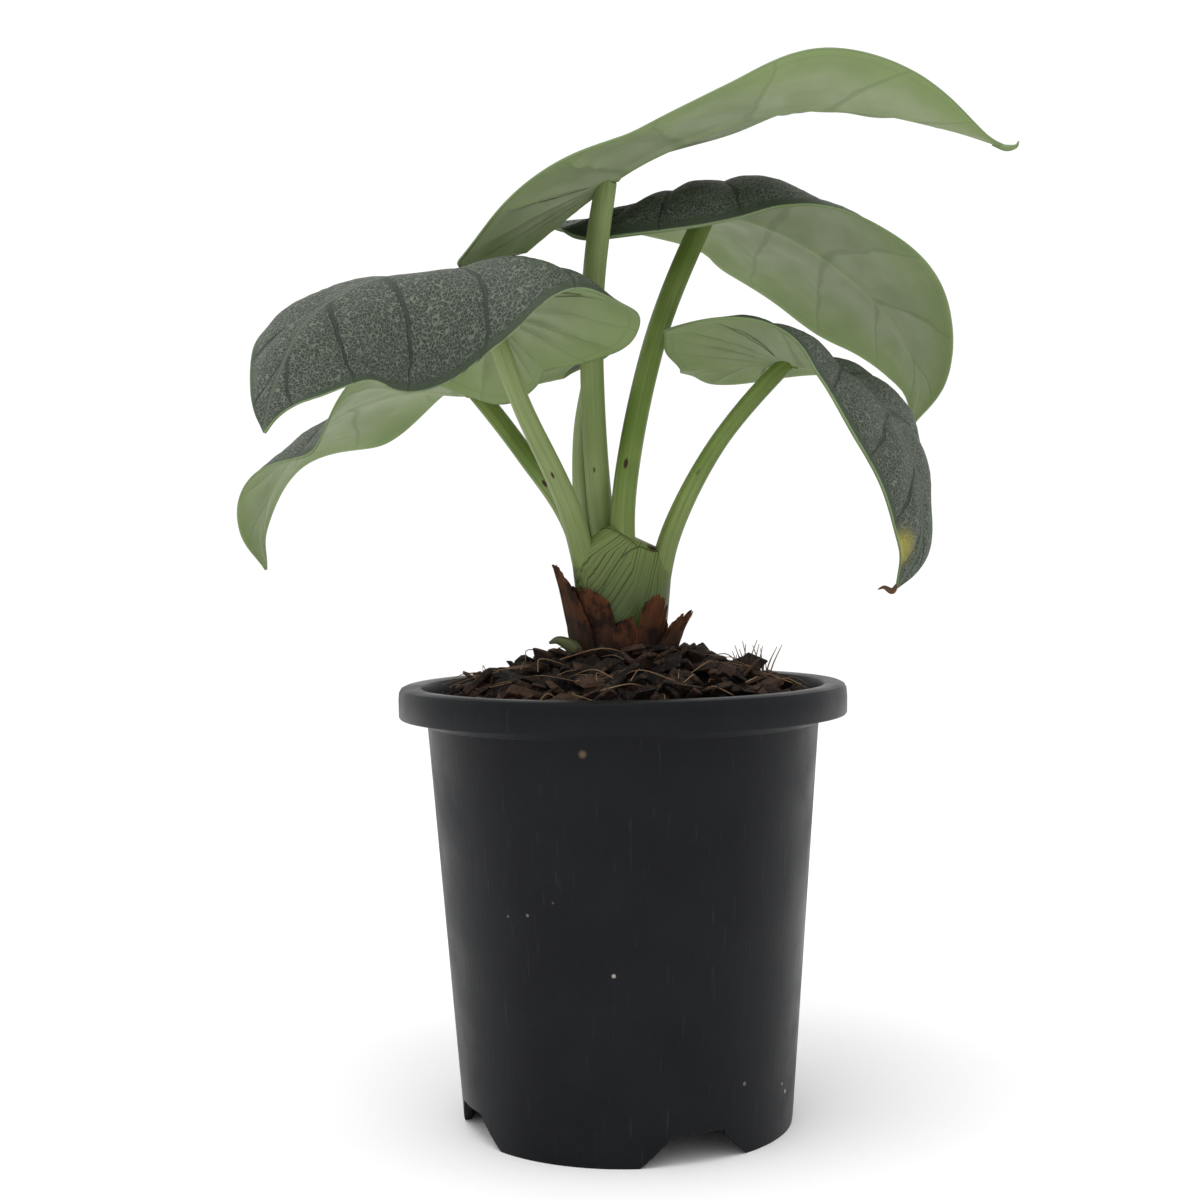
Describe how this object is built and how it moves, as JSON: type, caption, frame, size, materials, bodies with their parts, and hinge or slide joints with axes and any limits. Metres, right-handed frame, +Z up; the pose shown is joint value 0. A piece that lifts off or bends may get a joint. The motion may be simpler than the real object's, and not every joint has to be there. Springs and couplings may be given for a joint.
{
  "type": "potted plant",
  "caption": "Small potted foliage plant with thick quilted shield-shaped leaves on stout petioles, in a round nursery pot of moulded plastic.",
  "frame": {"origin": "middle of the whole object's box, on the surface that the pot's feet stand on", "axes": "+Z up along the petioles, +X to the picture's right, +Y away from the camera"},
  "size_m": [0.2434, 0.1842, 0.3165],
  "materials": {
    "pot": "black moulded plastic, satin, faintly scratched",
    "mix": "rough dark bark chips and coir fibre",
    "blade": "thick quilted leaf, dark grey-green and pebbled above, sage below",
    "petiole": "smooth, finely streaked light green",
    "crown": "green sheath bases, striped lengthwise",
    "young_leaf": "pale green, waxy",
    "dry_leaf": "brown, papery, fibrous"
  },
  "bodies": {
    "root": {"nursery_pot": "pot", "potting_mix": "mix", "crown": "crown", "petiole_a": "petiole", "blade_a": "blade", "petiole_b": "petiole", "blade_b": "blade", "petiole_c": "petiole", "blade_c": "blade", "petiole_d": "petiole", "blade_d": "blade", "petiole_e": "petiole", "blade_e": "blade", "new_leaf": "young_leaf", "side_bud": "crown", "dry_sheath_1": "dry_leaf", "dry_sheath_2": "dry_leaf", "dry_sheath_3": "dry_leaf", "dry_sheath_4": "dry_leaf", "dry_sheath_5": "dry_leaf"}
  },
  "joints": []
}
